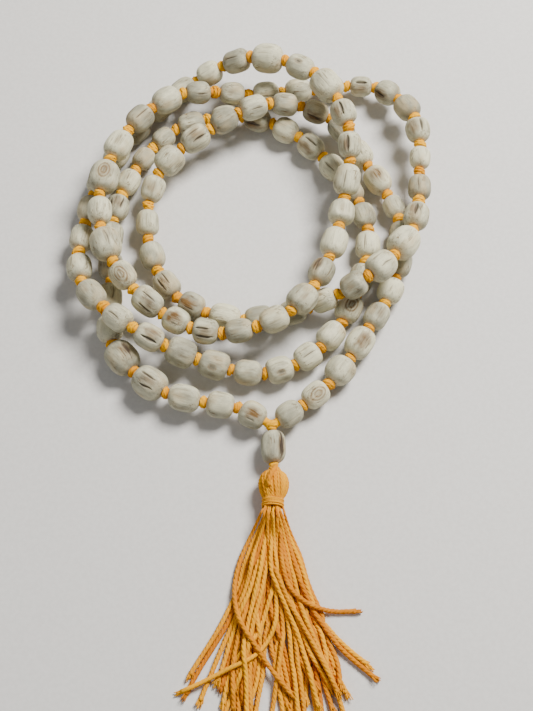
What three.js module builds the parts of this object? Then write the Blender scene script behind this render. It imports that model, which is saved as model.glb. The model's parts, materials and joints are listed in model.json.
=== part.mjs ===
// Knotted wooden mala: one limp cord, knotted on both sides of every bead, lies wound in four loose
// turns on a flat surface. Both of its ends come together in one knot, pass through the guru bead
// and end in a tassel. Millimetres, +Z up, resting on z = 0, the origin in the middle of the footprint.
import * as THREE from 'three';

// Driving dimensions.
const CORD_RADIUS = 0.7;
const KNOT_RADIUS = 1.6;
const BORE_RADIUS = 1.1;
const PAIR_RADIUS = 1.0; // the two cord ends side by side, through the guru bead
const GAP = 0.4; // between a bead and what it meets on the cord
const SIDES = 8;
const SHOULDER = 0.66; // a bead's end radius over its belly radius
const BELLY = 0.24; // half the belly's length over the bead's length
const END_STAND_OFF = 1.0; // how far the first and last beads stand off the knot above the guru
const CORNER_EASE = 0.6; // how far each side of a knot's middle the cord starts to turn

// Length and diameter of each turned form of bead.
const BEAD_FORMS = {
  s: [6.4, 6.0], // small
  n: [7.4, 6.6], // narrow
  r: [7.2, 7.2], // round
  m: [7.8, 7.0], // medium barrel
  b: [8.6, 7.4], // long barrel
  w: [8.0, 8.0], // wide
  g: [9.2, 8.6], // great
};

// The form of each bead, in stringing order from the guru bead round the four turns and back.
const BEAD_ORDER = [
  'nnwbnrmmsbmmnnmmbwnnmmrbmmnrwg',
  'mnsrrrsmmmnnbmbgmgmbrrnmwmbrbn',
  'rgmgmrmmmmmmmmbmmwwmrrmmmmnmmm',
  'rmmmssnmmmmmggbrr',
].join('');

// The cord's route, one point at every second knot. It starts and ends at the knot above the guru.
const ROUTE = [
  [1.5, -21.5, 4], [16.5, -10, 4], [27.5, 6, 4], [35.5, 21.5, 3.5], [37.5, 39.5, 3.5], [29, 56.5, 4],
  [18.5, 72, 5.5], [0.5, 73.5, 11], [-16, 65, 10.5], [-30.5, 52.5, 7.5], [-33, 33, 4], [-24.5, 15.5, 3.5],
  [-6.5, 8.5, 4], [11.5, 12.5, 4], [27, 17, 13.5], [40, 32.5, 10.5], [43, 52.5, 7.5], [42.5, 70, 9],
  [32, 83.5, 4.5], [14, 83.5, 3.5], [-5, 80.5, 5], [-24.5, 77.5, 10], [-39, 64, 11.5], [-46, 43, 12],
  [-41.5, 22.5, 12], [-28, 9, 7.5], [-12, 3, 7.5], [6.5, 7.5, 12], [17, 24.5, 10], [21.5, 43.5, 9.5],
  [23, 61.5, 16.5], [14, 79.5, 16.5], [-4.5, 88, 13], [-20.5, 85.5, 4.5], [-34.5, 73, 3.5], [-45.5, 56, 4],
  [-50.5, 38, 4.5], [-50, 17.5, 9], [-35, 3, 11], [-18.5, -3, 4.5], [-0.5, -7, 3.5], [14.5, 0.5, 4],
  [24.5, 16.5, 3.5], [28.5, 36.5, 4], [21.5, 53, 3.5], [9.5, 66.5, 4], [-7, 74, 3.5], [-26.5, 69.5, 3.5],
  [-37.5, 56, 3], [-43, 39, 4], [-42.5, 20.5, 3.5], [-41.5, 1.5, 4], [-26.5, -13, 5], [-7.5, -16.5, 4],
].map((point) => new THREE.Vector3(...point));

// The string in order: stretches whose beads are joined with their knots, and stretches of bare
// knotted cord that carry separate beads. Each pair holds the first and the last bead.
const JOINED_RUNS = [[1, 6], [7, 12], [19, 26], [35, 42], [67, 74], [79, 88], [89, 98], [99, 107]];
const FREE_STRETCHES = [[13, 18], [27, 34], [43, 66], [75, 78]];

// The guru bead and the tassel lie in line below the route's first point.
const JUNCTION = ROUTE[0];
const NECK = new THREE.Vector3(2, -33.5, 3.8); // the small knot that the tassel hangs from
const WAIST = new THREE.Vector3(1.6, -42.5, 4); // the middle of the tassel's binding
const JUNCTION_KNOT_RADIUS = 1.2;
const NECK_KNOT_RADIUS = 1.2;
const GURU_LENGTH = 8.6;
const GURU_RADIUS = 3.3;
const GURU_START = 1.6;
const HEAD_RADIUS = 4;
const WAIST_RADIUS = 2.2;
const BINDING_RADIUS = 3.2;
const BINDING_WIDTH = 2.6;
// The skirt's half width and height at each distance below the waist; it lies flat on z = 0.
const SKIRT = [
  [3, 2.6, 5.4],
  [10, 6.5, 5.6],
  [22, 10.5, 5],
  [38, 18.5, 4],
  [46, 22.5, 3],
  [57, 16, 2],
];
const SKIRT_SIDES = 12;

const WOOD = { color: 0xcfc6b2, roughness: 0.8, metalness: 0 };
const COTTON = { color: 0xe9a63a, roughness: 0.9, metalness: 0 };

const mala = new THREE.Group();

function addPiece(name, geometry, look) {
  const piece = new THREE.Mesh(geometry, new THREE.MeshStandardMaterial(look));
  piece.name = name;
  mala.add(piece);
  return piece;
}

// A solid of revolution about Y from [radius, height] pairs.
function turned(profile, sides = SIDES) {
  return new THREE.LatheGeometry(profile.map((pair) => new THREE.Vector2(...pair)), sides);
}

// Every knot on the string: the route's own points, and between each two of them the point that a
// smooth curve through their neighbours gives.
function knotCentres() {
  const centres = [];
  const count = ROUTE.length;
  ROUTE.forEach((point, index) => {
    centres.push(point);
    if (index === count - 1) {
      return;
    }
    const next = ROUTE[index + 1];
    const before = ROUTE[index - 1] ?? point.clone().multiplyScalar(2).sub(next);
    const beyond = ROUTE[index + 2] ?? ROUTE[0];
    centres.push(point.clone().add(next).multiplyScalar(9 / 16).addScaledVector(before.clone().add(beyond), -1 / 16));
  });
  centres.push(ROUTE[0]);
  return centres;
}

// The cord runs straight through each bead and turns at each knot.
function cordPath(corners) {
  const path = new THREE.CurvePath();
  let start = corners[0];
  for (let bead = 1; bead < corners.length; bead += 1) {
    const corner = corners[bead];
    const along = corner.clone().sub(corners[bead - 1]).normalize();
    if (bead === corners.length - 1) {
      path.add(new THREE.LineCurve3(start, corner));
      break;
    }
    const before = corner.clone().addScaledVector(along, -CORNER_EASE);
    const onward = corners[bead + 1].clone().sub(corner).normalize();
    const after = corner.clone().addScaledVector(onward, CORNER_EASE);
    path.add(new THREE.LineCurve3(start, before));
    path.add(new THREE.QuadraticBezierCurve3(before, corner, after));
    start = after;
  }
  return path;
}

const KNOTS = knotCentres();
const PATH = cordPath(KNOTS);
const PATH_ENDS = PATH.getCurveLengths();
const PATH_LENGTH = PATH.getLength();

// Where each bead starts and ends along the cord.
function beadSpan(bead) {
  const [length] = BEAD_FORMS[BEAD_ORDER[bead - 1]];
  const lineStart = bead === 1 ? 0 : PATH_ENDS[2 * bead - 3];
  const standOff = bead === 1 ? END_STAND_OFF : bead === BEAD_ORDER.length ? -END_STAND_OFF : 0;
  const middle = (lineStart + PATH_ENDS[2 * bead - 2]) / 2 + standOff;
  return [middle - length / 2, middle + length / 2];
}

// Bends a straight solid that stands along Y, so that Y runs along the cord.
function bentAlongCord(geometry) {
  const places = geometry.attributes.position;
  const corner = new THREE.Vector3();
  for (let index = 0; index < places.count; index += 1) {
    corner.fromBufferAttribute(places, index);
    const share = Math.min(Math.max(corner.y / PATH_LENGTH, 0), 1);
    const tangent = PATH.getTangentAt(share);
    const side = new THREE.Vector3(tangent.y, -tangent.x, 0).normalize();
    const rise = side.clone().cross(tangent);
    const place = PATH.getPointAt(share).addScaledVector(side, corner.x).addScaledVector(rise, corner.z);
    places.setXYZ(index, place.x, place.y, place.z);
  }
  return geometry;
}

// A bead's outside, from its start to its end along the cord.
function beadOutline(bead) {
  const [length, diameter] = BEAD_FORMS[BEAD_ORDER[bead - 1]];
  const [start, end] = beadSpan(bead);
  const middle = (start + end) / 2;
  const radius = diameter / 2;
  return [
    [radius * SHOULDER, start],
    [radius, middle - length * BELLY],
    [radius, middle + length * BELLY],
    [radius * SHOULDER, end],
  ];
}

// A knot on the bare cord, filling the space between two beads.
function knotOutline(start, end) {
  const third = (end - start) / 3;
  return [
    [CORD_RADIUS, start],
    [KNOT_RADIUS, start + third],
    [KNOT_RADIUS, end - third],
    [CORD_RADIUS, end],
  ];
}

function joinedRun(first, last) {
  const firstStart = beadSpan(first)[0];
  const profile = [[0, firstStart]];
  for (let bead = first; bead <= last; bead += 1) {
    profile.push(...beadOutline(bead));
    if (bead < last) {
      profile.push([KNOT_RADIUS, (beadSpan(bead)[1] + beadSpan(bead + 1)[0]) / 2]);
    }
  }
  profile.push([0, beadSpan(last)[1]]);
  return bentAlongCord(turned(profile));
}

function knottedCord(first, last) {
  const start = beadSpan(first - 1)[1] + GAP;
  const end = beadSpan(last + 1)[0] - GAP;
  const profile = [[0, start]];
  for (let bead = first; bead <= last + 1; bead += 1) {
    profile.push(...knotOutline(beadSpan(bead - 1)[1] + GAP, beadSpan(bead)[0] - GAP));
  }
  profile.push([0, end]);
  return bentAlongCord(turned(profile));
}

function boredBead(bead) {
  const [start, end] = beadSpan(bead);
  const outline = beadOutline(bead);
  return bentAlongCord(turned([[BORE_RADIUS, start], ...outline, [BORE_RADIUS, end], [BORE_RADIUS, start]]));
}

JOINED_RUNS.forEach(([first, last], index) => {
  addPiece(`joined_run_${index + 1}`, joinedRun(first, last), WOOD);
});

FREE_STRETCHES.forEach(([first, last], index) => {
  addPiece(`knotted_cord_${index + 1}`, knottedCord(first, last), COTTON);
  for (let bead = first; bead <= last; bead += 1) {
    addPiece(`bead_${String(bead).padStart(3, '0')}`, boredBead(bead), WOOD);
  }
});

// Stands a solid that is turned about Y at a start, pointing to an end.
function aimed(piece, start, end) {
  piece.position.copy(start);
  piece.quaternion.setFromUnitVectors(new THREE.Vector3(0, 1, 0), end.clone().sub(start).normalize());
}

// The cord's two ends, knotted together above the guru bead and run side by side through it.
const pairEnd = JUNCTION.distanceTo(NECK) - NECK_KNOT_RADIUS - GAP;
const guruCord = addPiece('guru_cord', turned([
  [0, -JUNCTION_KNOT_RADIUS],
  [JUNCTION_KNOT_RADIUS, -0.7],
  [JUNCTION_KNOT_RADIUS, 0.7],
  [PAIR_RADIUS, GURU_START - GAP],
  [PAIR_RADIUS, pairEnd],
  [0, pairEnd],
]), COTTON);
aimed(guruCord, JUNCTION, NECK);

const guruBore = PAIR_RADIUS + GAP;
const guruBead = addPiece('guru_bead', turned([
  [guruBore, GURU_START],
  [GURU_RADIUS * SHOULDER, GURU_START],
  [GURU_RADIUS, GURU_START + GURU_LENGTH * (0.5 - BELLY)],
  [GURU_RADIUS, GURU_START + GURU_LENGTH * (0.5 + BELLY)],
  [GURU_RADIUS * SHOULDER, GURU_START + GURU_LENGTH],
  [guruBore, GURU_START + GURU_LENGTH],
  [guruBore, GURU_START],
]), WOOD);
aimed(guruBead, JUNCTION, NECK);

const neckKnot = addPiece('tassel_neck', turned([
  [0, -NECK_KNOT_RADIUS],
  [NECK_KNOT_RADIUS, -0.5],
  [NECK_KNOT_RADIUS, 0.5],
  [0, NECK_KNOT_RADIUS],
]), COTTON);
aimed(neckKnot, NECK, WAIST);

// The strands fold over at the neck, bulge, and are drawn in at the waist by the binding.
const waist = NECK.distanceTo(WAIST);
const head = addPiece('tassel_head', turned([
  [0, NECK_KNOT_RADIUS + GAP],
  [1.6, NECK_KNOT_RADIUS + GAP],
  [HEAD_RADIUS * 0.85, 3],
  [HEAD_RADIUS, 4.6],
  [HEAD_RADIUS * 0.85, 6.2],
  [WAIST_RADIUS, waist - BINDING_WIDTH / 2],
  [WAIST_RADIUS, waist - GAP / 2],
  [0, waist - GAP / 2],
]), COTTON);
aimed(head, NECK, WAIST);

const bindingBore = WAIST_RADIUS + GAP;
const binding = addPiece('tassel_binding', turned([
  [bindingBore, waist - BINDING_WIDTH / 2],
  [BINDING_RADIUS, waist - BINDING_WIDTH / 2],
  [BINDING_RADIUS, waist + BINDING_WIDTH / 2],
  [bindingBore, waist + BINDING_WIDTH / 2],
  [bindingBore, waist - BINDING_WIDTH / 2],
]), COTTON);
aimed(binding, NECK, WAIST);

// The skirt is turned as a cone, then each of its rings is flattened to its own width and height,
// and its flat underside is level with the lowest beads.
function tasselSkirt() {
  const ground = new THREE.Box3().setFromObject(mala, true).min.z;
  const stub = [[0, GAP / 2], [WAIST_RADIUS, GAP / 2], [WAIST_RADIUS, BINDING_WIDTH / 2 + GAP]];
  const flared = SKIRT.map(([below, halfWidth]) => [halfWidth, below]);
  const profile = [...stub, ...flared, [0, SKIRT.at(-1)[0]]];
  const geometry = turned(profile, SKIRT_SIDES);
  const places = geometry.attributes.position;
  for (let index = 0; index < places.count; index += 1) {
    const below = places.getY(index);
    const ring = SKIRT.find(([distance]) => Math.abs(distance - below) < 0.01);
    const lean = ring ? places.getZ(index) / ring[1] : 0;
    const lift = ring ? ground + Math.max(0, ring[2] * (0.35 + 0.65 * lean)) : WAIST.z + places.getZ(index);
    places.setXYZ(index, WAIST.x - places.getX(index), WAIST.y - below, lift);
  }
  return geometry;
}
addPiece('tassel_skirt', tasselSkirt(), COTTON);

// The origin is in the middle of the footprint, on the surface that the mala lies on.
mala.updateMatrixWorld(true);
const footprint = new THREE.Box3().setFromObject(mala, true);
mala.position.set(
  -(footprint.min.x + footprint.max.x) / 2,
  -(footprint.min.y + footprint.max.y) / 2,
  -footprint.min.z,
);

export default mala;
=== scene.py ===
"""The looks of a knotted wooden mala that lies in four loose turns with its tassel spread.

Every wooden bead, the knotted cotton cord and the tassel's strands are built in mesh code around
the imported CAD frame. Lengths named in millimetres are turned into metres where a mesh is made.
"""

import json
import math

import bpy
import numpy as np
from mathutils import Matrix, Vector


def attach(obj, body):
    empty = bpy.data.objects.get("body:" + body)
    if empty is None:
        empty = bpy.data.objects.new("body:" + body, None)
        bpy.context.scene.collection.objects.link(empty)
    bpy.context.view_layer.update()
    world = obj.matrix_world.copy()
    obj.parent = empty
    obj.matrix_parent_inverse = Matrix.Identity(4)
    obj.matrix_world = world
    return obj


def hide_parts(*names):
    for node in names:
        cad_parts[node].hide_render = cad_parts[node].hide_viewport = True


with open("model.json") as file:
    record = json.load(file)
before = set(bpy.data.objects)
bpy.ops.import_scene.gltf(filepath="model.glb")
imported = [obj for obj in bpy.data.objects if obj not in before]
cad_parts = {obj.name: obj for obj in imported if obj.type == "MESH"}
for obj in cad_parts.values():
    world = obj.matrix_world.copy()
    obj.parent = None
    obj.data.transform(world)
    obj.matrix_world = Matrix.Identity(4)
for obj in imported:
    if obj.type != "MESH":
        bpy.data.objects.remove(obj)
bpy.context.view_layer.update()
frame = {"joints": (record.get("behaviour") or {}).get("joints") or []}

MM = 0.001
UP = np.array([0.0, 0.0, 1.0])

# ---------------------------------------------------------------- driving dimensions (millimetres)
CORD_RADIUS = 0.72
BORE_RADIUS = 0.85
CORNER_EASE = 0.6
END_STAND_OFF = 1.0
KNOT_OUTER_RADIUS = 1.8
KNOT_STRAND_RADIUS = 0.48
GURU_LENGTH = 8.6
GURU_RADIUS = 3.3
GURU_START = 1.6
HEAD_RADIUS = 3.95
WAIST_RADIUS = 2.3
BINDING_WIDTH = 2.6
STRAND_RADIUS = 0.66

# Length and diameter of each turned form of bead, as in the CAD.
BEAD_FORMS = {
    "s": (6.4, 6.0),
    "n": (7.4, 6.6),
    "r": (7.2, 7.2),
    "m": (7.8, 7.0),
    "b": (8.6, 7.4),
    "w": (8.0, 8.0),
    "g": (9.2, 8.6),
}

# The form of each bead, in stringing order from the guru bead round the four turns and back. A scratch
# program gave each bead the nearest form; one letter was then changed by hand.
BEAD_ORDER = (
    "nnwbnrmmsbmmnnmmbwnnmmrbmmnrwg"
    "mnsrrrsmmmnnbmbgmgmbrrnmwmbrbn"
    "rgmgmrmmmmmmmmbmmwwmrrmmmmnmmm"
    "rmmmssnmmmmmggbrr"
)

# What each bead's wood shows on top: p plain, c crack, C several cracks, g open groove, s swirl,
# b brown stain, d dark patch, w whitish, k knot scar, f carved flat. The guru bead's own mark is G.
BEAD_MARKS = (
    "pspbfppcpbcpdpcpCpfppCbwpppfcp"
    "gcpgpdgppcfcpcfspcsCbCppfdpfcg"
    "gpkpcpcppppppcfcgpkpkcpspcppcg"
    "pdpcppcCpdcpdCfpb"
)

# The cord's route, one point at every second knot, as in the CAD. A scratch program fitted the points to
# beads read off the photograph by eye, and rounded them; nine were then moved by hand.
ROUTE_MM = [
    (1.5, -21.5, 4), (16.5, -10, 4), (27.5, 6, 4), (35.5, 21.5, 3.5), (37.5, 39.5, 3.5), (29, 56.5, 4),
    (18.5, 72, 5.5), (0.5, 73.5, 11), (-16, 65, 10.5), (-30.5, 52.5, 7.5), (-33, 33, 4), (-24.5, 15.5, 3.5),
    (-6.5, 8.5, 4), (11.5, 12.5, 4), (27, 17, 13.5), (40, 32.5, 10.5), (43, 52.5, 7.5), (42.5, 70, 9),
    (32, 83.5, 4.5), (14, 83.5, 3.5), (-5, 80.5, 5), (-24.5, 77.5, 10), (-39, 64, 11.5), (-46, 43, 12),
    (-41.5, 22.5, 12), (-28, 9, 7.5), (-12, 3, 7.5), (6.5, 7.5, 12), (17, 24.5, 10), (21.5, 43.5, 9.5),
    (23, 61.5, 16.5), (14, 79.5, 16.5), (-4.5, 88, 13), (-20.5, 85.5, 4.5), (-34.5, 73, 3.5), (-45.5, 56, 4),
    (-50.5, 38, 4.5), (-50, 17.5, 9), (-35, 3, 11), (-18.5, -3, 4.5), (-0.5, -7, 3.5), (14.5, 0.5, 4),
    (24.5, 16.5, 3.5), (28.5, 36.5, 4), (21.5, 53, 3.5), (9.5, 66.5, 4), (-7, 74, 3.5), (-26.5, 69.5, 3.5),
    (-37.5, 56, 3), (-43, 39, 4), (-42.5, 20.5, 3.5), (-41.5, 1.5, 4), (-26.5, -13, 5), (-7.5, -16.5, 4),
]
JOINED_RUNS = [(1, 6), (7, 12), (19, 26), (35, 42), (67, 74), (79, 88), (89, 98), (99, 107)]
FREE_STRETCHES = [(13, 18), (27, 34), (43, 66), (75, 78)]
NECK_MM = (2, -33.5, 3.8)
WAIST_MM = (1.6, -42.5, 4)


def joint_place(name):
    joint = next(j for j in frame["joints"] if j["name"] == name)
    return np.array(joint["pos_m"])


# The CAD puts the origin in the middle of the footprint; the route is drawn from its own origin.
SHIFT = joint_place("guru_swing") - np.array(ROUTE_MM[0]) * MM


def placed(point_mm):
    return np.array(point_mm, float) * MM + SHIFT


# ---------------------------------------------------------------- camera
CAMERA_ELEVATION = math.radians(67)
CAMERA_DISTANCE = 0.33
VIEW_METRES_PER_PIXEL = 0.00027
IMAGE_HEIGHT = 711
SENSOR_HEIGHT = 24


def add_camera():
    data = bpy.data.cameras.new("camera")
    data.sensor_fit = "VERTICAL"
    data.sensor_height = SENSOR_HEIGHT
    data.lens = CAMERA_DISTANCE * data.sensor_height / (VIEW_METRES_PER_PIXEL * IMAGE_HEIGHT)
    data.clip_start = 0.01
    camera = bpy.data.objects.new("camera", data)
    bpy.context.scene.collection.objects.link(camera)
    aim = Vector((SHIFT[0], SHIFT[1], 0))
    back = Vector((0, -math.cos(CAMERA_ELEVATION), math.sin(CAMERA_ELEVATION)))
    camera.location = aim + CAMERA_DISTANCE * back
    camera.rotation_euler = (-back).to_track_quat("-Z", "Y").to_euler()
    bpy.context.scene.camera = camera
    return np.array(back)


TOWARDS_CAMERA = add_camera()


# ---------------------------------------------------------------- the cord's path
def unit(vector):
    return vector / np.linalg.norm(vector)


def knot_centres():
    """The route's points, and between each two the point of a smooth curve through their neighbours."""
    route = [placed(point) for point in ROUTE_MM]
    centres = []
    for index, point in enumerate(route[:-1]):
        onward = route[index + 1]
        before = route[index - 1] if index else 2 * point - onward
        beyond = route[index + 2] if index + 2 < len(route) else route[0]
        centres += [point, (point + onward) * 9 / 16 - (before + beyond) / 16]
    return centres + [route[-1], route[0]]


KNOTS = knot_centres()


def bead_place(bead):
    """Middle and direction of a bead, which sits on the straight cord between two knots."""
    start, end = KNOTS[bead - 1], KNOTS[bead]
    along = unit(end - start)
    stand_off = {1: END_STAND_OFF, len(BEAD_ORDER): -END_STAND_OFF}.get(bead, 0)
    ease_shift = {1: -CORNER_EASE / 2, len(BEAD_ORDER): CORNER_EASE / 2}.get(bead, 0)
    return (start + end) / 2 + along * (stand_off + ease_shift) * MM, along


def bead_size(bead):
    return BEAD_FORMS[BEAD_ORDER[bead - 1]]


def cord_points():
    """The cord's centreline: straight through the beads, and turning within each knot."""
    points = [KNOTS[0]]
    for corner in range(1, len(KNOTS) - 1):
        into = unit(KNOTS[corner] - KNOTS[corner - 1])
        out = unit(KNOTS[corner + 1] - KNOTS[corner])
        before = KNOTS[corner] - into * CORNER_EASE * MM
        after = KNOTS[corner] + out * CORNER_EASE * MM
        points += [before, (before + 2 * KNOTS[corner] + after) / 4, after]
    return points + [KNOTS[-1]]


# ---------------------------------------------------------------- mesh helpers
def mesh_piece(name, vertices, faces, material, attributes=None, matrix=None, smooth=True):
    mesh = bpy.data.meshes.new(name)
    mesh.from_pydata(np.asarray(vertices).tolist(), [], [tuple(face) for face in faces])
    mesh.polygons.foreach_set("use_smooth", [smooth] * len(mesh.polygons))
    for key, values in (attributes or {}).items():
        attribute = mesh.attributes.new(key, "FLOAT", "POINT")
        attribute.data.foreach_set("value", np.asarray(values, np.float32))
    mesh.materials.append(material)
    mesh.update()
    piece = bpy.data.objects.new(name, mesh)
    bpy.context.scene.collection.objects.link(piece)
    if matrix is not None:
        piece.matrix_world = matrix
    return piece


def ring_faces(rings, sides, closed=False, offset=0):
    """Quads that join rings of vertices, each ring with its own row of sides."""
    ring_count = rings if closed else rings - 1
    ring = np.arange(ring_count)[:, None]
    side = np.arange(sides)[None, :]
    here = ring * sides
    there = ((ring + 1) % rings) * sides
    onward = (side + 1) % sides
    faces = np.stack([here + side, here + onward, there + onward, there + side], -1)
    return (faces.reshape(-1, 4) + offset).tolist()


def carried_frames(points):
    """Sides and rises along a line of points, turned as little as can be from one to the next."""
    points = np.asarray(points, float)
    tangents = np.gradient(points, axis=0)
    tangents /= np.linalg.norm(tangents, axis=1)[:, None]
    start = np.cross(tangents[0], UP)
    if np.linalg.norm(start) < 0.2:
        start = np.cross(tangents[0], (1.0, 0, 0))
    side = unit(start)
    sides = []
    for tangent in tangents:
        side = unit(side - tangent * (side @ tangent))
        sides.append(side)
    sides = np.array(sides)
    return sides, np.cross(sides, tangents)


def tube(points, radii, sides=6, start_at=0):
    """A closed tube with flat ends along points: its vertices and faces, numbered from start_at."""
    points = np.asarray(points, float)
    side, rise = carried_frames(points)
    angles = np.arange(sides) * 2 * math.pi / sides
    radii = np.broadcast_to(radii, len(points))[:, None, None]
    ring = side[:, None] * np.cos(angles)[None, :, None] + rise[:, None] * np.sin(angles)[None, :, None]
    vertices = (points[:, None] + ring * radii).reshape(-1, 3)
    faces = [face[::-1] for face in ring_faces(len(points), sides, offset=start_at)]
    last = start_at + (len(points) - 1) * sides
    faces.append([start_at + index for index in range(sides)])
    faces.append([last + index for index in reversed(range(sides))])
    return vertices, faces


# The plies of a twisted strand: how many, and how far out and how thick as shares of its radius.
PLIES = 3
PLY_OFFSET = 0.37
PLY_THICKNESS = 0.64


class Strands:
    """Collects tubes into one mesh."""

    def __init__(self):
        self.vertices, self.faces, self.tones, self.count = [], [], [], 0

    def add_tube(self, points, radii, sides=6, tone=0.5):
        vertices, faces = tube(points, radii, sides, self.count)
        self.vertices.append(vertices)
        self.faces += faces
        self.tones.append(np.full(len(vertices), tone))
        self.count += len(vertices)

    def add_twisted(self, points, radius, pitch, sides=5, tone=0.5, phase=0.0):
        """Plies wound round each other along points; radius may differ from point to point."""
        points = np.asarray(points, float)
        side, rise = carried_frames(points)
        steps = np.linalg.norm(np.diff(points, axis=0), axis=1)
        turned = 2 * math.pi * np.concatenate([[0], np.cumsum(steps)]) / pitch + phase
        radius = np.broadcast_to(radius, len(points))
        for ply in range(PLIES):
            angle = turned + 2 * math.pi * ply / PLIES
            out = side * np.cos(angle)[:, None] + rise * np.sin(angle)[:, None]
            line = points + out * (radius * PLY_OFFSET)[:, None]
            self.add_tube(line, radius * PLY_THICKNESS, sides, tone)

    def piece(self, name, material):
        attributes = {"tone": np.concatenate(self.tones)}
        return mesh_piece(name, np.concatenate(self.vertices), self.faces, material, attributes)


def smooth_line(control, step):
    """Points every step along a Catmull-Rom curve through the control points."""
    control = np.asarray(control, float)
    ends = np.vstack([2 * control[0] - control[1], control, 2 * control[-1] - control[-2]])
    line = []
    for a, b, c, d in zip(ends, ends[1:], ends[2:], ends[3:]):
        count = max(2, int(np.linalg.norm(c - b) / step))
        t = (np.arange(count) / count)[:, None]
        curve = 2 * b + (c - a) * t + (2 * a - 5 * b + 4 * c - d) * t**2 + (3 * b - a - 3 * c + d) * t**3
        line.append(curve / 2)
    return np.vstack(line + [control[-1:]])


# Any large uneven numbers do here: they scatter the corners of the noise's cells.
NOISE_SCATTER = np.array([127.1, 311.7, 74.7])
NOISE_SEED_STEP = 37.7
NOISE_SCALE = 43758.5453


def value_noise(points, seed):
    """Smooth noise from -1 to 1 at points, one feature per unit."""
    cell = np.floor(points)
    share = points - cell
    share = share * share * (3 - 2 * share)
    total = np.zeros(len(points))
    for corner in np.ndindex(2, 2, 2):
        place = cell + corner
        mixed = np.sin(place @ NOISE_SCATTER + seed * NOISE_SEED_STEP) * NOISE_SCALE
        weight = np.prod(np.where(np.array(corner), share, 1 - share), axis=1)
        total += weight * (mixed - np.floor(mixed))
    return 2 * total - 1


# ---------------------------------------------------------------- materials
class Shader:
    """Short calls for building one material's nodes."""

    def __init__(self, name):
        self.material = bpy.data.materials.new(name)
        self.material.use_nodes = True
        self.tree = self.material.node_tree
        self.surface = self.tree.nodes["Principled BSDF"]

    def node(self, kind, **settings):
        made = self.tree.nodes.new("ShaderNode" + kind)
        for key, value in settings.items():
            setattr(made, key, value)
        return made

    def feed(self, socket, value):
        if isinstance(value, bpy.types.NodeSocket):
            self.tree.links.new(value, socket)
        else:
            socket.default_value = value

    def attribute(self, name):
        return self.node("Attribute", attribute_name=name).outputs["Fac"]

    def maths(self, operation, *values):
        made = self.node("Math", operation=operation)
        for socket, value in zip(made.inputs, values):
            self.feed(socket, value)
        return made.outputs[0]

    def remap(self, value, low, high, to_low=0.0, to_high=1.0):
        made = self.node("MapRange", interpolation_type="SMOOTHSTEP")
        settings = {"Value": value, "From Min": low, "From Max": high, "To Min": to_low, "To Max": to_high}
        for key, setting in settings.items():
            self.feed(made.inputs[key], setting)
        return made.outputs["Result"]

    def mix(self, share, first, second):
        made = self.node("Mix", data_type="RGBA")
        self.feed(made.inputs[0], share)
        self.feed(made.inputs[6], first)
        self.feed(made.inputs[7], second)
        return made.outputs[2]

    def own_place(self, stretch=(1, 1, 1), shift=None):
        """The place on the object itself, moved by a shift and then stretched."""
        coordinates = self.node("TexCoord").outputs["Object"]
        if shift is not None:
            moved = self.node("VectorMath", operation="ADD")
            self.feed(moved.inputs[0], coordinates)
            self.feed(moved.inputs[1], shift)
            coordinates = moved.outputs[0]
        mapping = self.node("Mapping")
        mapping.inputs["Scale"].default_value = stretch
        self.feed(mapping.inputs["Vector"], coordinates)
        return mapping.outputs[0]

    def noise(self, place, scale, detail=3.0, roughness=0.55, distortion=0.0):
        made = self.node("TexNoise")
        for key, value in (("Vector", place), ("Scale", scale), ("Detail", detail),
                           ("Roughness", roughness), ("Distortion", distortion)):
            self.feed(made.inputs[key], value)
        return made.outputs["Fac"]

    def bump(self, height, distance, strength):
        made = self.node("Bump")
        self.feed(made.inputs["Height"], height)
        made.inputs["Distance"].default_value = distance
        made.inputs["Strength"].default_value = strength
        return made.outputs[0]


PALE_WOOD = (0.69, 0.665, 0.47, 1)
GREY_WOOD = (0.27, 0.26, 0.19, 1)
WARM_WOOD = (0.50, 0.39, 0.21, 1)
FIBRE_WOOD = (0.17, 0.135, 0.08, 1)
BROWN_WOOD = (0.16, 0.082, 0.02, 1)
CRACK_WOOD = (0.035, 0.022, 0.014, 1)
BRIGHT_CORD = (0.84, 0.42, 0.0, 1)
DEEP_CORD = (0.60, 0.22, 0.0, 1)
BRIGHT_TASSEL = (0.80, 0.37, 0.0, 1)
DEEP_TASSEL = (0.52, 0.16, 0.0, 1)
COTTON_SHEEN = 0.02
LIGHT_FLOOR = (0.66, 0.65, 0.635, 1)
DARK_FLOOR = (0.62, 0.61, 0.595, 1)


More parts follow.
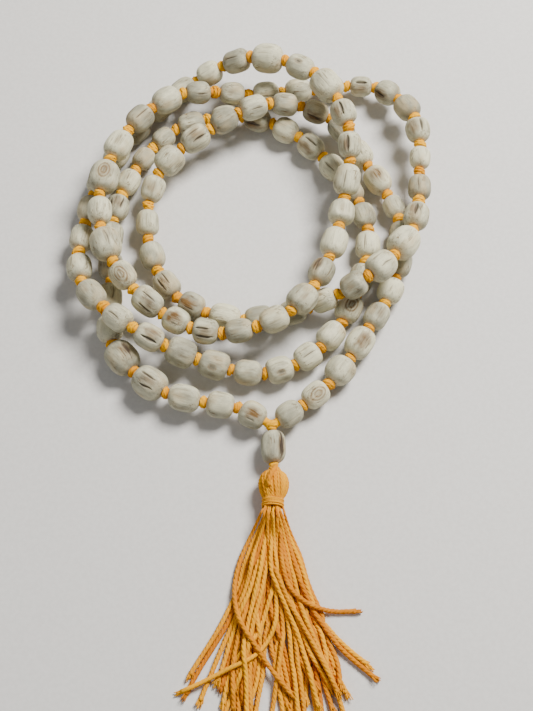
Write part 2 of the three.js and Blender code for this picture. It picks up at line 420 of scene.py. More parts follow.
def wood_material(name):
    """Dry unpolished tulsi wood: lengthwise fibres, hair cracks, mottling, and each bead's own marks."""
    s = Shader(name)
    seed = s.node("CombineXYZ")
    s.feed(seed.inputs[0], s.attribute("seed"))
    s.feed(seed.inputs[2], s.attribute("seed"))
    drift = seed.outputs[0]
    fibres = s.noise(s.own_place((1, 1, 0.06), drift), 4200, 5, 0.7)
    bands = s.noise(s.own_place((1, 1, 0.10), drift), 1300, 4, 0.6, 0.5)
    mottle = s.noise(s.own_place((1, 1, 0.5), drift), 360, 4, 0.6)
    warmth = s.noise(s.own_place((1, 1, 0.7), drift), 210, 2)
    hair = s.noise(s.own_place((1, 1, 0.05), drift), 1250, 2, 0.5)
    hair_line = s.remap(s.maths("ABSOLUTE", s.maths("SUBTRACT", hair, 0.5)), 0.004, 0.022, 1.0, 0.0)
    hair_here = s.remap(s.noise(s.own_place((1, 1, 1), drift), 300, 1), 0.5, 0.62)
    hair_crack = s.maths("MULTIPLY", hair_line, hair_here)

    uneven = s.maths("MULTIPLY", s.maths("SUBTRACT", mottle, 0.5), 1.5)
    colour = s.mix(s.remap(s.maths("ADD", s.attribute("tone"), uneven), 0.0, 1.0), GREY_WOOD, PALE_WOOD)
    colour = s.mix(s.remap(warmth, 0.48, 0.7, 0.0, 0.55), colour, WARM_WOOD)
    colour = s.mix(s.remap(bands, 0.5, 0.74, 0.0, 0.5), colour, FIBRE_WOOD)
    colour = s.mix(s.remap(fibres, 0.5, 0.78, 0.0, 0.52), colour, FIBRE_WOOD)
    stain = s.maths("MULTIPLY", s.attribute("stain"), s.remap(bands, 0.3, 0.6, 0.6, 1.15))
    colour = s.mix(stain, colour, BROWN_WOOD)
    colour = s.mix(s.maths("MULTIPLY", hair_crack, 0.75), colour, BROWN_WOOD)
    colour = s.mix(s.attribute("dark"), colour, CRACK_WOOD)
    s.feed(s.surface.inputs["Base Color"], colour)
    s.feed(s.surface.inputs["Roughness"], s.remap(fibres, 0.3, 0.7, 0.62, 0.86))
    s.surface.inputs["Specular IOR Level"].default_value = 0.35
    relief = s.maths("SUBTRACT", s.maths("ADD", fibres, s.maths("MULTIPLY", bands, 0.6)),
                     s.maths("MULTIPLY", hair_crack, 1.4))
    s.feed(s.surface.inputs["Normal"], s.bump(relief, 0.00016, 0.7))
    return s.material


def cotton_material(name, bright, deep):
    """Dyed cotton: fine fibres, uneven dye, a tone set for each piece (low on the knots' and head's cores,
    where it paints shade), and a faint sheen at grazing angles.
    """
    s = Shader(name)
    dye = s.noise(s.own_place(), 420, 3)
    fibres = s.noise(s.own_place(), 9000, 3, 0.7)
    tone = s.maths("ADD", s.attribute("tone"), s.maths("MULTIPLY", s.maths("SUBTRACT", dye, 0.5), 0.8))
    colour = s.mix(s.remap(tone, 0.0, 1.0), deep, bright)
    colour = s.mix(s.remap(fibres, 0.5, 0.85, 0.0, 0.35), colour, deep)
    s.feed(s.surface.inputs["Base Color"], colour)
    s.feed(s.surface.inputs["Roughness"], s.remap(fibres, 0.2, 0.8, 0.72, 0.95))
    s.surface.inputs["Sheen Weight"].default_value = COTTON_SHEEN
    s.surface.inputs["Sheen Roughness"].default_value = 0.5
    s.surface.inputs["Sheen Tint"].default_value = (1.0, 0.78, 0.42, 1)
    s.surface.inputs["Specular IOR Level"].default_value = 0.2
    s.feed(s.surface.inputs["Normal"], s.bump(fibres, 0.00008, 0.6))
    return s.material


def floor_material():
    s = Shader("pale_floor")
    grain = s.noise(s.own_place(), 900, 3)
    s.feed(s.surface.inputs["Base Color"], s.mix(s.remap(grain, 0.3, 0.7), DARK_FLOOR, LIGHT_FLOOR))
    s.surface.inputs["Roughness"].default_value = 0.9
    return s.material


WOOD = wood_material("tulsi_wood")
GURU_WOOD = wood_material("guru_wood")
CORD_COTTON = cotton_material("marigold_cord", BRIGHT_CORD, DEEP_CORD)
TASSEL_COTTON = cotton_material("marigold_tassel", BRIGHT_TASSEL, DEEP_TASSEL)


# ---------------------------------------------------------------- beads
BEAD_SIDES = 88
BEAD_RINGS = 40
BORE_RINGS = 4
BORE_INSET = 0.25
SIDE_BUNCHING = 0.45
BEAD_SEED = 4000


def turned_away(around, where):
    """The angle from where to each point, from minus to plus half a turn."""
    return (around - where + math.pi) % (2 * math.pi) - math.pi


def soft_least(first, second, blend):
    """The lesser of two lengths, with the corner between them rounded."""
    share = np.clip(0.5 + (second - first) / (2 * blend), 0, 1)
    return second * (1 - share) + first * share - blend * share * (1 - share)


class Wood:
    """The surface of one bored bead about Z, in millimetres, and the flaws cut into it or stained on it."""

    def __init__(self, length, radius, facing, rng):
        self.half, self.radius, self.rng = length / 2, radius, rng
        lip = BORE_RADIUS / radius
        squareness, endness = rng.uniform(2.3, 3.1), rng.uniform(2.3, 3.3)
        start = math.asin(lip ** (squareness / 2))
        sweep = np.linspace(start, math.pi - start, BEAD_RINGS)
        outer_z = -np.sign(np.cos(sweep)) * np.abs(np.cos(sweep)) ** (2 / endness) * self.half
        outer_r = np.sin(sweep) ** (2 / squareness) * radius
        bore_z = np.linspace(outer_z[-1] - BORE_INSET, outer_z[0] + BORE_INSET, BORE_RINGS)
        self.rings = BEAD_RINGS + BORE_RINGS
        # The sides are closest together where the flaws are.
        even = np.arange(BEAD_SIDES) * 2 * math.pi / BEAD_SIDES
        self.around = np.tile(facing + even - SIDE_BUNCHING * np.sin(even), self.rings)
        self.along = np.repeat(np.concatenate([outer_z, bore_z]), BEAD_SIDES)
        self.distance = np.repeat(np.concatenate([outer_r, np.full(BORE_RINGS, BORE_RADIUS)]), BEAD_SIDES)
        self.body = np.clip((self.distance / radius - lip) / (1 - lip), 0, 1) ** 0.5
        self.dark = np.zeros(len(self.along))
        self.stain = 0.35 * np.clip(1 - self.body * 2.2, 0, 1)
        self.sunk = np.zeros(len(self.along))

    def noise(self, across_scale, along_scale):
        spot = np.stack([np.cos(self.around) * across_scale, np.sin(self.around) * across_scale,
                         self.along * along_scale], -1)
        return value_noise(spot + self.rng.uniform(5, 40), self.rng.uniform(0, 50))

    def split(self, where, width, depth, reach, ink=1.0, wander=0.07):
        """A lengthwise split, open like a lens between two places along the bead."""
        low, high = (share * self.half for share in reach)
        line = where + wander * self.noise(0, 0.5)
        middle, half_length = (low + high) / 2, (high - low) / 2
        opening = np.clip(1 - ((self.along - middle) / half_length) ** 2, 0, 1)
        across = np.abs(turned_away(self.around, line)) * self.radius
        ragged = 1 + 0.25 * self.noise(0, 1.6)
        near = np.clip(1 - across / (width * ragged * opening**0.7 + 0.001), 0, 1) * (opening > 0)
        halo = np.clip(1 - across / (width * 2.4 + 0.3), 0, 1) * opening
        self.sunk = np.maximum(self.sunk, depth * near**0.6)
        self.dark = np.maximum(self.dark, ink * np.clip(near * 1.8, 0, 1))
        self.stain = np.maximum(self.stain, 0.5 * ink * halo)

    def blotch(self, where, centre, size, strength, long=1.4):
        across = turned_away(self.around, where) * self.radius
        away = np.hypot(across, (self.along - centre) / long) / size
        spread = np.clip(1.3 - away * 1.2 + 0.35 * self.noise(3, 0.9), 0, 1)
        self.stain = np.maximum(self.stain, strength * spread)

    def scorch(self, where, width, ink, long=0.85):
        """Broken black streaks that follow the fibres, for a share of the bead's length."""
        across = turned_away(self.around, where) * self.radius
        away = np.hypot(across / width, self.along / (self.half * long))
        streaks = np.clip(0.5 + 1.8 * self.noise(6, 0.6), 0, 1)
        self.dark = np.maximum(self.dark, ink * streaks * np.clip(1.6 - 1.6 * away, 0, 1))

    def growth_rings(self, where, reach, heart_size, heart_ink):
        """Rings round the place where a twig left the stem."""
        across = turned_away(self.around, where) * self.radius
        away = np.hypot(across, self.along * 0.75) + 0.1 * self.noise(2, 0.6)
        turns = 0.5 + 0.5 * np.cos(away * 2 * math.pi / 0.8)
        fade = np.clip((reach - away) / 0.9, 0, 1)
        heart = np.clip(1.4 - away / heart_size, 0, 1)
        self.stain = np.maximum(self.stain, fade * (0.2 + 0.6 * turns))
        self.sunk = np.maximum(self.sunk, fade * 0.07 * turns + heart * 0.25)
        self.dark = np.maximum(self.dark, heart * heart_ink)

    def shave(self, toward, share):
        """A flat carved along the bead, share of its radius from the middle."""
        lean = np.maximum(np.cos(turned_away(self.around, toward)), 0.25)
        cut = soft_least(self.distance, self.radius * share / lean, 0.12)
        self.distance = np.where(self.body > 0.3, cut, self.distance)

    def finish(self, tone):
        rng = self.rng
        swell = 0.035 * self.noise(1.1, 0.22) + 0.012 * self.noise(3.2, 0.6)
        taper = rng.uniform(-0.055, 0.055) * self.along / self.half
        distance = self.distance * (1 + (swell + taper - 0.015) * self.body) - self.sunk * self.body
        x, y = np.cos(self.around) * distance, np.sin(self.around) * distance
        end = (np.abs(self.along) / self.half) ** 3
        slope = rng.uniform(-0.07, 0.07, 2)
        z = self.along + end * (slope[0] * x + slope[1] * y)
        attributes = {
            "seed": np.full(len(x), rng.uniform(0, 1)),
            "tone": tone + 0.12 * self.noise(1.4, 0.3),
            "dark": self.dark * self.body,
            "stain": self.stain,
        }
        return np.stack([x, y, z], -1) * MM, ring_faces(self.rings, BEAD_SIDES, closed=True), attributes


def carved_bead(length, radius, mark, facing, rng):
    """A bead's vertices, faces and wood attributes; its mark is turned to face an angle."""
    wood = Wood(length, radius, facing, rng)
    vary = rng.uniform
    if mark == "c":
        wood.split(facing + vary(-0.5, 0.5), 0.2, 0.2, (vary(-0.8, -0.5), vary(0.3, 0.7)), 0.7)
    elif mark == "C":
        turn = vary(-0.25, 0.25)
        wood.split(facing + turn - vary(0.2, 0.4), vary(0.25, 0.4), 0.4,
                   (vary(-0.8, -0.5), vary(0.3, 0.6)), 0.9)
        wood.split(facing + turn + vary(0.3, 0.6), vary(0.3, 0.5), 0.4,
                   (vary(-0.6, -0.2), vary(0.6, 0.85)), 0.8)
        wood.blotch(facing + turn, vary(-1, 1), 1.9, 0.55)
        wood.scorch(facing + turn + 0.1, 1.6, 0.4)
    elif mark == "g":
        wood.split(facing + vary(-0.3, 0.3), vary(0.45, 0.7), 0.55,
                   (vary(-0.7, -0.5), vary(0.45, 0.65)), 0.8, 0.03)
        wood.blotch(facing - 0.5, 0, 2.0, 0.7)
        wood.scorch(facing - 0.4, 1.6, 0.3)
    elif mark == "b":
        wood.blotch(facing + vary(-0.3, 0.3), vary(-0.6, 0.6), 2.4, 1.0)
        wood.scorch(facing + vary(-0.4, 0.1), 1.4, 0.3)
        wood.split(facing + 0.3, 0.2, 0.15, (-0.2, 0.5), 0.6)
    elif mark == "d":
        wood.blotch(facing - 0.7, 0.5, 2.2, 0.8)
        wood.scorch(facing - 0.65, 1.6, 0.8)
        wood.split(facing - 0.65, 0.35, 0.3, (-0.5, 0.75), 0.9)
    elif mark == "G":
        wood.blotch(facing - 0.75, 0, 1.5, 0.8, 2.2)
        wood.scorch(facing - 0.7, 1.0, 1.0, 1.5)
        wood.scorch(facing - 0.85, 0.9, 1.0, 1.3)
        wood.split(facing - 0.80, 0.3, 0.3, (-0.9, 0.1), 1.0)
        wood.split(facing - 0.70, 0.26, 0.3, (-0.25, 0.6), 1.0)
        wood.split(facing - 0.86, 0.22, 0.25, (0.3, 0.9), 1.0)
    elif mark == "s":
        wood.growth_rings(facing, 2.6, 0.35, 0.5)
    elif mark == "k":
        wood.growth_rings(facing + 0.2, 1.5, 0.6, 0.9)
    elif mark == "f":
        wood.shave(facing + vary(-0.5, 0.5), vary(0.88, 0.92))
        wood.blotch(facing, vary(-1, 1), 1.5, 0.4)
    for _ in range(rng.integers(1, 4)):
        wood.split(vary(0, 2 * math.pi), vary(0.1, 0.18), vary(0.05, 0.14),
                   (vary(-0.9, -0.2), vary(0.1, 0.9)), vary(0.2, 0.5))
    for _ in range(rng.integers(1, 4)):
        wood.shave(vary(0, 2 * math.pi), vary(0.93, 0.97))
    tones = {"w": 1.0, "d": 0.35, "C": 0.45, "g": 0.6}
    return wood.finish(tones.get(mark, vary(0.22, 0.92)))


def bead_frame(middle, along):
    """A matrix whose Z runs along the cord and whose Y is as near to up as it can be, and its top's angle."""
    rise = unit(UP - along * (UP @ along))
    side = np.cross(rise, along)
    matrix = Matrix.Identity(4)
    for row in range(3):
        for column, axis in enumerate((side, rise, along, middle)):
            matrix[row][column] = axis[row]
    facing = math.atan2(TOWARDS_CAMERA @ rise, TOWARDS_CAMERA @ side)
    return matrix, facing


def add_beads():
    nodes = {}
    for run, (first, last) in enumerate(JOINED_RUNS, 1):
        nodes.update({bead: (f"joined_run_{run}", "string") for bead in range(first, last + 1)})
    for first, last in FREE_STRETCHES:
        for bead in range(first, last + 1):
            nodes[bead] = (f"bead_{bead:03d}", f"bead_{bead:03d}_body")
    for bead in range(1, len(BEAD_ORDER) + 1):
        rng = np.random.default_rng(BEAD_SEED + bead)
        length, diameter = bead_size(bead)
        matrix, facing = bead_frame(*bead_place(bead))
        shape = carved_bead(length, diameter / 2, BEAD_MARKS[bead - 1], facing, rng)
        piece = mesh_piece(f"wood_bead_{bead:03d}", shape[0], shape[1], WOOD, shape[2], matrix)
        node, body = nodes[bead]
        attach(piece, body)
        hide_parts(node)


# ---------------------------------------------------------------- cord and knots
KNOT_STEPS = 48
KNOT_TURNS = 2.8
CORD_STEP = 0.8 * MM
CORD_PITCH = 3.4 * MM
STRAND_TWIST = 3.4 * MM
JUNCTION_CORD_RADIUS = 1.2 * MM
JUNCTION_CORD_PITCH = 4.2 * MM
GURU_CORD_RADIUS = 0.42
# How far a knot reaches into the mouths of the bores beside it.
KNOT_OVERLAP = 0.3
FREE_BEADS = {bead for first, last in FREE_STRETCHES for bead in range(first, last + 1)}


def add_knot(strands, middle, along, half_length, rng, outer):
    """A tight barrel knot: the cord wound aslant round itself, with its last turn crossing over."""
    matrix, _ = bead_frame(middle, along)
    side, rise = np.array(matrix.col[0][:3]), np.array(matrix.col[1][:3])
    roll, tone, hand = rng.uniform(0, 2 * math.pi), rng.uniform(0.4, 0.9), rng.choice([-1, 1])
    strand = KNOT_STRAND_RADIUS

    def wound(t, turned, radius, lean):
        angle = roll + hand * turned
        run = np.clip(half_length - strand, 0.3, None) * t + lean * np.cos(turned)
        x, y = radius * np.cos(angle), radius * np.sin(angle)
        line = middle + (x[:, None] * side + y[:, None] * rise + run[:, None] * along) * MM
        strands.add_twisted(line, strand * MM, STRAND_TWIST, tone=tone)

    t = np.linspace(-1, 1, KNOT_STEPS)
    tucked = 1 - 0.55 * np.clip((np.abs(t) - 0.86) / 0.14, 0, 1)
    wound(t, t * KNOT_TURNS * math.pi, (outer - strand - 0.32 * t**2) * tucked, 0.26)
    t = np.linspace(-1, 1, KNOT_STEPS // 3)
    wound(t, 1.3 - 1.5 * t, (outer - strand + 0.16) * (1 - 0.5 * np.abs(t) ** 5), 0.0)
    # A core fills the knot; its colour is set darker than the cord's, painted shade in the gaps between the
    # turns.
    core = [middle + along * share * half_length * MM for share in (-1, -0.6, 0.6, 1)]
    strands.add_tube(core, np.array([0.6, 0.62, 0.62, 0.6]) * outer * MM, 10, tone - 0.3)


def bead_face(bead, end):
    """Where a bead's end meets the cord; end is -1 for its start and 1 for its far end."""
    middle, along = bead_place(bead)
    return middle + along * end * bead_size(bead)[0] / 2 * MM


def add_knot_after(strands, bead, rng):
    """The knot between a bead and the next, a little longer than the gap, to fill the bores' mouths."""
    before, after = bead_face(bead, 1), bead_face(bead + 1, -1)
    half_length = np.linalg.norm(after - before) / MM / 2 + KNOT_OVERLAP
    along = unit(KNOTS[bead + 1] - KNOTS[bead - 1])
    outer = KNOT_OUTER_RADIUS * rng.uniform(0.92, 1.05)
    add_knot(strands, (before + after) / 2, along, half_length, rng, outer)


def add_junction_cord(strands, bead, end):
    """The doubled cord from the first or last bead's face to the junction."""
    face = bead_face(bead, end)
    inward = unit(JUNCTION - face)
    line = [face - inward * 0.5 * MM + (JUNCTION - face) * share for share in np.linspace(0, 1, 12)]
    strands.add_twisted(line, JUNCTION_CORD_RADIUS, JUNCTION_CORD_PITCH, sides=9, tone=0.7)


def add_knot_group(node, first, last, rng):
    """The knots within a stretch of beads, and those between it and a joined neighbour."""
    free = first in FREE_BEADS
    knots = Strands()
    start = first - 1 if free or (first > 1 and first - 1 not in FREE_BEADS) else first
    for bead in range(start, last + 1 if free else last):
        add_knot_after(knots, bead, rng)
    if first == 1:
        add_junction_cord(knots, first, -1)
    if last == len(BEAD_ORDER):
        add_junction_cord(knots, last, 1)
    group = knots.piece("knots_" + node, CORD_COTTON)
    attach(group, "string")
    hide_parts(node)
    return group


def add_cord():
    path = cord_points()
    dense = []
    for start, end in zip(path, path[1:]):
        count = max(1, round(np.linalg.norm(end - start) / CORD_STEP))
        dense += [start + (end - start) * step / count for step in range(count)]
    dense.append(path[-1])
    cord = Strands()
    cord.add_twisted(dense, CORD_RADIUS * MM, CORD_PITCH, sides=6, tone=0.6)
    piece = cord.piece("stringing_cord", CORD_COTTON)
    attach(piece, "string")
    rng = np.random.default_rng(70)
    groups = [add_knot_group(f"joined_run_{n}", *span, rng) for n, span in enumerate(JOINED_RUNS, 1)]
    groups += [add_knot_group(f"knotted_cord_{n}", *span, rng) for n, span in enumerate(FREE_STRETCHES, 1)]


JUNCTION = KNOTS[0]
NECK = placed(NECK_MM)
WAIST = placed(WAIST_MM)
add_cord()
add_beads()


# ---------------------------------------------------------------- guru bead, its cord and the neck knot
def add_guru():
    along = unit(NECK - JUNCTION)
    middle = JUNCTION + along * (GURU_START + GURU_LENGTH / 2) * MM
    matrix, facing = bead_frame(middle, along)
    rng = np.random.default_rng(108)
    shape = carved_bead(GURU_LENGTH, GURU_RADIUS, "G", facing, rng)
    bead = mesh_piece("wood_guru_bead", shape[0], shape[1], GURU_WOOD, shape[2], matrix)
    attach(bead, "guru_bead_body")
    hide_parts("guru_bead")

    ends = Strands()
    rng = np.random.default_rng(109)
    add_knot(ends, JUNCTION + along * 0.1 * MM, along, 1.3, rng, 1.65)
    side = unit(np.cross(along, UP))
    reach = np.linalg.norm(NECK - JUNCTION)
    for offset in (-GURU_CORD_RADIUS, GURU_CORD_RADIUS):
        line = [JUNCTION + along * share * reach + side * offset * MM for share in np.linspace(0, 0.9, 16)]
        ends.add_twisted(line, GURU_CORD_RADIUS * MM, STRAND_TWIST, tone=0.6)
    add_knot(ends, JUNCTION + along * (GURU_START + GURU_LENGTH + 0.35) * MM, along, 0.65, rng, 1.25)
    piece = ends.piece("guru_cord_ends", CORD_COTTON)
    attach(piece, "guru_cord_body")
    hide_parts("guru_cord")

    neck = Strands()
    add_knot(neck, NECK, unit(WAIST - NECK), 1.3, rng, 1.6)
    piece = neck.piece("neck_knot", CORD_COTTON)
    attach(piece, "tassel_neck_body")
    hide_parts("tassel_neck")


add_guru()


# ---------------------------------------------------------------- tassel
HEAD_STRANDS = 36
HEAD_STRAND_RADIUS = 0.43
TIE_RADIUS = 0.75
BINDING_TURNS = 5
THREAD_RADIUS = 0.3
THREAD_PITCH = 1.6
STRAND_STEP = 0.6 * MM
ROWS = 4
COLUMNS = 9
LINE_POINTS = 44

# How the strands settle: millimetres sunk at first in each round, how near a pair has to be to be looked
# at and how often that is done afresh, and how pairs that touch are pushed apart.
SETTLE_ROUNDS = 90
SINK_STEP = 0.33
PAIR_RANGE = 3
PAIRS_EVERY = 6
CLOSENESS = 0.96
PUSH_SHARE = 0.6
LARGEST_SHOVE = 0.35
# Strands that touch pile up more readily than they spread.
SIDEWAYS_GIVE = np.array([0.22, 0.22, 1.0])

# A strand's thickness, as a share of its full one, at places along its length of 50 parts: gathered
# thin at the waist, and brushed out at its tip.
STRAND_PARTS = 50
THICKNESS_AT = [0, 16, 48.5, STRAND_PARTS]
THICKNESS = [0.42, 1, 1, 1.12]
END_FIBRES = 16
FIBRE_RADIUS = 0.13

# Half width of the spread skirt at each distance below the waist.
SPREAD = np.array([(0, 1.5), (4, 2.1), (8, 2.8), (16, 4.0), (24, 6.0), (34, 11.0), (44, 17.0), (56, 21.5)])

# Strands that lie over the pile: each point is a distance below the waist and a place to the right of it.
OVERLYING_STRANDS = [
    [(0, -1.2), (8, -3.4), (18, -6.0), (27, -10.0), (35, -15.5), (42, -20.0)],
    [(0, -1.0), (9, -2.6), (20, -5.6), (30, -11.5), (38, -17.0), (46, -21.0)],
    [(0, -0.6), (10, -3.0), (22, -6.6), (32, -11.0), (40, -14.5), (48, -17.5)],
    [(0, 0.8), (10, 2.6), (22, 4.6), (34, 10.0), (45, 15.5), (53, 17.5)],
    [(0, 1.0), (9, 4.2), (18, 6.4), (27, 9.6), (35, 16.0), (39.5, 23.0)],
    [(0, 1.2), (12, 4.6), (22, 7.2), (31, 12.5), (37, 18.0), (42.5, 24.5)],
    [(0, 0.5), (8, 2.0), (16, 2.5), (23, 3.5), (26.5, 9), (27, 15), (26.5, 20.5)],
    [(0, 0.0), (14, 0.5), (26, 2.0), (35, 1.0), (38.5, -6.0), (42, -13), (46, -22)],
    [(0, -1.0), (10, -1.5), (20, 1.5), (29, 6.5), (37, 11.5), (46, 15.5)],
    [(0, 0.5), (9, -1.0), (19, 0.0), (28, 4.5), (38, 7.5), (50, 11.0)],
    [(0, -1.0), (8, -6.0), (14, -9.0), (20, -10.6), (27, -9.6), (34, -6.0), (41, -0.5), (46.5, 4.5)],
]


def tassel_frame():
    along = unit(WAIST - NECK)
    side = unit(np.cross(along, UP))
    return along, side, np.cross(side, along)


def add_head():
    """Strands folded over the neck, bulging, and drawn in at the waist."""
    along, side, rise = tassel_frame()
    reach = np.linalg.norm(WAIST - NECK) / MM
    profile = [(0.45, 0.75), (0.85, 2.0), (1.9, 3.1), (3.8, HEAD_RADIUS - 0.45),
               (5.8, 3.15), (7.6, 2.35), (reach, 2.0)]
    head = Strands()
    rng = np.random.default_rng(31)

    def at(distance, radius, angle):
        out = side * math.cos(angle) + rise * math.sin(angle)
        return NECK + (along * distance + out * radius) * MM

    for strand in range(HEAD_STRANDS):
        angle = 2 * math.pi * (strand + rng.uniform(-0.3, 0.3)) / HEAD_STRANDS
        lean = 0.35 + rng.uniform(-0.15, 0.15)
        puff = rng.uniform(-0.2, 0.15)
        bow = 0.22 * math.cos(angle + 0.6)
        control = []
        for distance, radius in profile:
            turned = angle + lean * distance / reach + bow * math.sin(math.pi * distance / reach)
            control.append(at(distance, radius + puff * (1.5 < distance < 7), turned))
        head.add_twisted(smooth_line(control, STRAND_STEP), HEAD_STRAND_RADIUS * MM, STRAND_TWIST,
                         tone=rng.uniform(0.3, 0.9), phase=rng.uniform(0, 6))
    # The tie that the strands hang from comes down over the top of the bulge.
    tie = [at(-0.3, 1.0, 1.7), at(0.6, 2.5, 1.55), at(2.0, 3.7, 1.4), at(4.0, 4.0, 1.25), at(5.4, 3.2, 1.2)]
    head.add_twisted(smooth_line(tie, STRAND_STEP), TIE_RADIUS * MM, STRAND_TWIST, sides=7, tone=0.35)
    # A core fills the head under the strands; its deep colour is painted shade in the gaps between them.
    core = [NECK + along * distance * MM for distance, _ in profile]
    head.add_tube(core, np.array([max(radius - 0.3, 0.4) for _, radius in profile]) * MM, 20, 0.1)
    piece = head.piece("tassel_folded_head", TASSEL_COTTON)
    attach(piece, "tassel_body")
    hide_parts("tassel_head")


def add_binding():
    """Thinner cotton wound round the waist."""
    along, side, rise = tassel_frame()
    t = np.linspace(0, BINDING_TURNS * 2 * math.pi, BINDING_TURNS * 26)
    radius = WAIST_RADIUS + THREAD_RADIUS + 0.08 * np.sin(t * 0.37)
    travel = (t / t[-1] - 0.5) * (BINDING_WIDTH - 2 * THREAD_RADIUS) + 0.12 * np.sin(t * 0.8)
    line = WAIST + (np.outer(travel, along) + (radius * np.cos(t))[:, None] * side
                    + (radius * np.sin(t))[:, None] * rise) * MM
    binding = Strands()
    binding.add_twisted(line, THREAD_RADIUS * MM, THREAD_PITCH * MM, tone=0.6)
    piece = binding.piece("tassel_wound_binding", TASSEL_COTTON)
    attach(piece, "tassel_body")
    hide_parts("tassel_binding")


def even_line(control):
    """The same number of points for every strand, evenly spaced along a smooth curve."""
    line = smooth_line(control, 0.5)
    run = np.concatenate([[0], np.cumsum(np.linalg.norm(np.diff(line, axis=0), axis=1))])
    stops = np.linspace(0, run[-1], LINE_POINTS)
    return np.stack([np.interp(stops, run, line[:, axis]) for axis in range(3)], -1)


def laid_strands(rng):
    """Paths of all strands, in millimetres from under the waist: the pile, then those that lie over it."""
    lines = []
    for row in range(ROWS):
        for column in range(COLUMNS):
            across = -1 + 2 * (column + (row * 3 % ROWS + 0.5) / ROWS) / COLUMNS
            wander = np.clip(rng.normal(0, 0.4), -0.7, 0.7)
            length = 55 - 9 * abs(across) ** 1.5 + rng.uniform(-8, 3)
            spot = np.array([[across * 3.0 + 9, distance / 24, 0] for distance in np.linspace(0, length, 9)])
            shared, own = value_noise(spot, 3), value_noise(spot * 1.3 + [0, 7 * row, column], 4)
            control = []
            for step, distance in enumerate(np.linspace(0, length, 9)):
                loose = min(distance / 22, 1)
                strayed = wander * np.clip(1.6 - distance / 28, 0, 1)
                place = across + strayed + loose * (0.34 * shared[step] + 0.2 * own[step])
                gathered = WAIST[2] / MM - 1.5 + 3.0 * row / (ROWS - 1)
                height = gathered * (1 - loose) + (1 + 2.2 * row) * loose
                control.append((place * np.interp(distance, *SPREAD.T), -distance, height))
            lines.append(even_line(control))
    for order, strand in enumerate(OVERLYING_STRANDS):
        control = []
        for distance, across in strand:
            height = 4.8 + min(distance / 5, 2.5) + 0.5 * order * min(distance / 10, 1)
            control.append((across, -distance, height))
        lines.append(even_line(control))
    return np.array(lines)


def settle(lines, radii):
    """Lets the strands sink on to one another or the floor, pushed apart where they would overlap."""
    owner = np.repeat(np.arange(len(lines)), LINE_POINTS)
    reach = np.tile(radii, len(lines))
    for round_number in range(SETTLE_ROUNDS):
        lines[:, 6:, 2] -= SINK_STEP * (1 - round_number / SETTLE_ROUNDS) ** 1.5
        flat = lines.reshape(-1, 3)
        if round_number % PAIRS_EVERY == 0:
            square = (flat**2).sum(1)
            apart = square[:, None] + square[None] - 2 * flat @ flat.T
            first, second = np.nonzero((apart < PAIR_RANGE**2) & (owner[:, None] < owner[None]))
        gap = flat[first] - flat[second]
        distance = np.linalg.norm(gap, axis=1)
        least = (reach[first] + reach[second]) * CLOSENESS
        push = np.clip(least - distance, 0, None) * PUSH_SHARE
        move = gap / (distance + 1e-6)[:, None] * push[:, None] * SIDEWAYS_GIVE
        shove = np.zeros_like(flat)
        np.add.at(shove, first, move)
        np.add.at(shove, second, -move)
        shove = np.clip(shove, -LARGEST_SHOVE, LARGEST_SHOVE).reshape(lines.shape)
        shove[:, :4] = 0
        lines += shove
        lines[:, 4:-1] = 0.7 * lines[:, 4:-1] + 0.15 * (lines[:, 3:-2] + lines[:, 5:])
        lines[:, :, 2] = np.maximum(lines[:, :, 2], radii)
    return lines


def brushed_end(strands, line, tone, rng):
    """The cut end of a strand, a little brush of loosened fibres."""
    tip, back = line[-1], unit(line[-1] - line[-4])
    for _ in range(END_FIBRES):
        splay = rng.normal(0, 0.16, 3)
        start = tip - back * 0.5 * MM + splay * STRAND_RADIUS * 2 * MM
        end = tip + (back * rng.uniform(0.9, 1.5) + splay * 2.6) * MM
        thread = np.array([start, (start + end) / 2 + splay * 0.2 * MM, end])
        thread[:, 2] = np.maximum(thread[:, 2], 0.14 * MM)
        strands.add_tube(smooth_line(thread, 0.5 * MM), FIBRE_RADIUS * MM, 5, tone + 0.1)


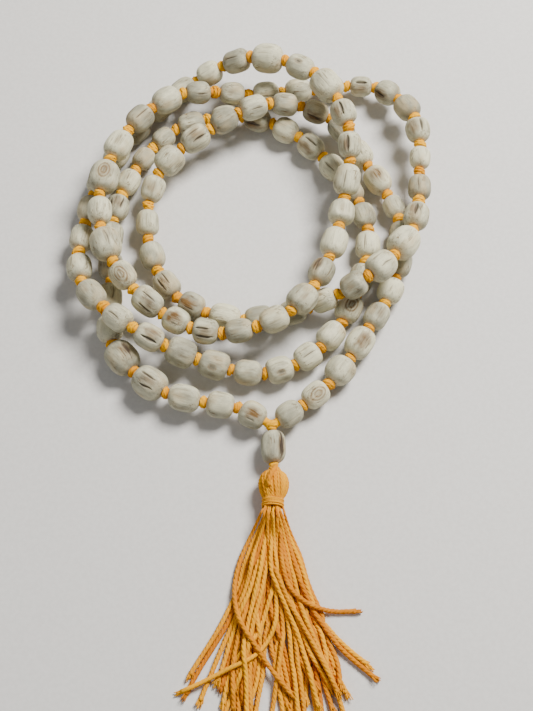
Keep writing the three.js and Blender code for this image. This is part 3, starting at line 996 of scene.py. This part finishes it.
def add_skirt():
    rng = np.random.default_rng(33)
    places = np.linspace(0, STRAND_PARTS, LINE_POINTS)
    radii = np.interp(places, THICKNESS_AT[:3], THICKNESS[:3]) * STRAND_RADIUS
    lines = settle(laid_strands(rng), radii)
    skirt = Strands()
    foot = np.array([WAIST[0], WAIST[1], 0])
    for line in lines:
        tone = rng.uniform(0.0, 1.0)
        curve = smooth_line(foot + line * MM, STRAND_STEP)
        thickness = np.interp(np.linspace(0, STRAND_PARTS, len(curve)), THICKNESS_AT, THICKNESS)
        pitch = STRAND_TWIST * rng.uniform(1.0, 1.3)
        skirt.add_twisted(curve, thickness * STRAND_RADIUS * MM, pitch, tone=tone, phase=rng.uniform(0, 6))
        brushed_end(skirt, curve, tone, rng)
    piece = skirt.piece("tassel_strands", TASSEL_COTTON)
    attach(piece, "tassel_body")
    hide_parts("tassel_skirt")


add_head()
add_binding()
add_skirt()


# ---------------------------------------------------------------- floor and light
FLOOR_HALF_WIDTH = 1.6
FLOOR_LEVEL = -0.0002
WORLD_STRENGTH = 0.18


def add_floor():
    around = ((-1, -1), (1, -1), (1, 1), (-1, 1))
    corners = [(x * FLOOR_HALF_WIDTH, y * FLOOR_HALF_WIDTH, FLOOR_LEVEL) for x, y in around]
    floor = mesh_piece("floor", corners, [(0, 1, 2, 3)], floor_material(), smooth=False)


def add_lamp(name, place, size, power, colour):
    data = bpy.data.lights.new(name, "AREA")
    data.shape = "DISK"
    data.size = size
    data.energy = power
    data.color = colour
    lamp = bpy.data.objects.new(name, data)
    bpy.context.scene.collection.objects.link(lamp)
    lamp.location = place
    lamp.rotation_euler = Vector(place).to_track_quat("Z", "Y").to_euler()


def add_world():
    world = bpy.data.worlds.new("studio")
    world.use_nodes = True
    background = world.node_tree.nodes["Background"]
    background.inputs["Color"].default_value = (1.0, 0.99, 0.97, 1)
    background.inputs["Strength"].default_value = WORLD_STRENGTH
    bpy.context.scene.world = world


add_floor()
add_world()
add_lamp("key", place=(0.30, 0.28, 0.54), size=0.28, power=11.0, colour=(1.0, 0.97, 0.92))
add_lamp("fill", place=(-0.45, -0.35, 0.55), size=0.6, power=1.2, colour=(0.95, 0.97, 1.0))
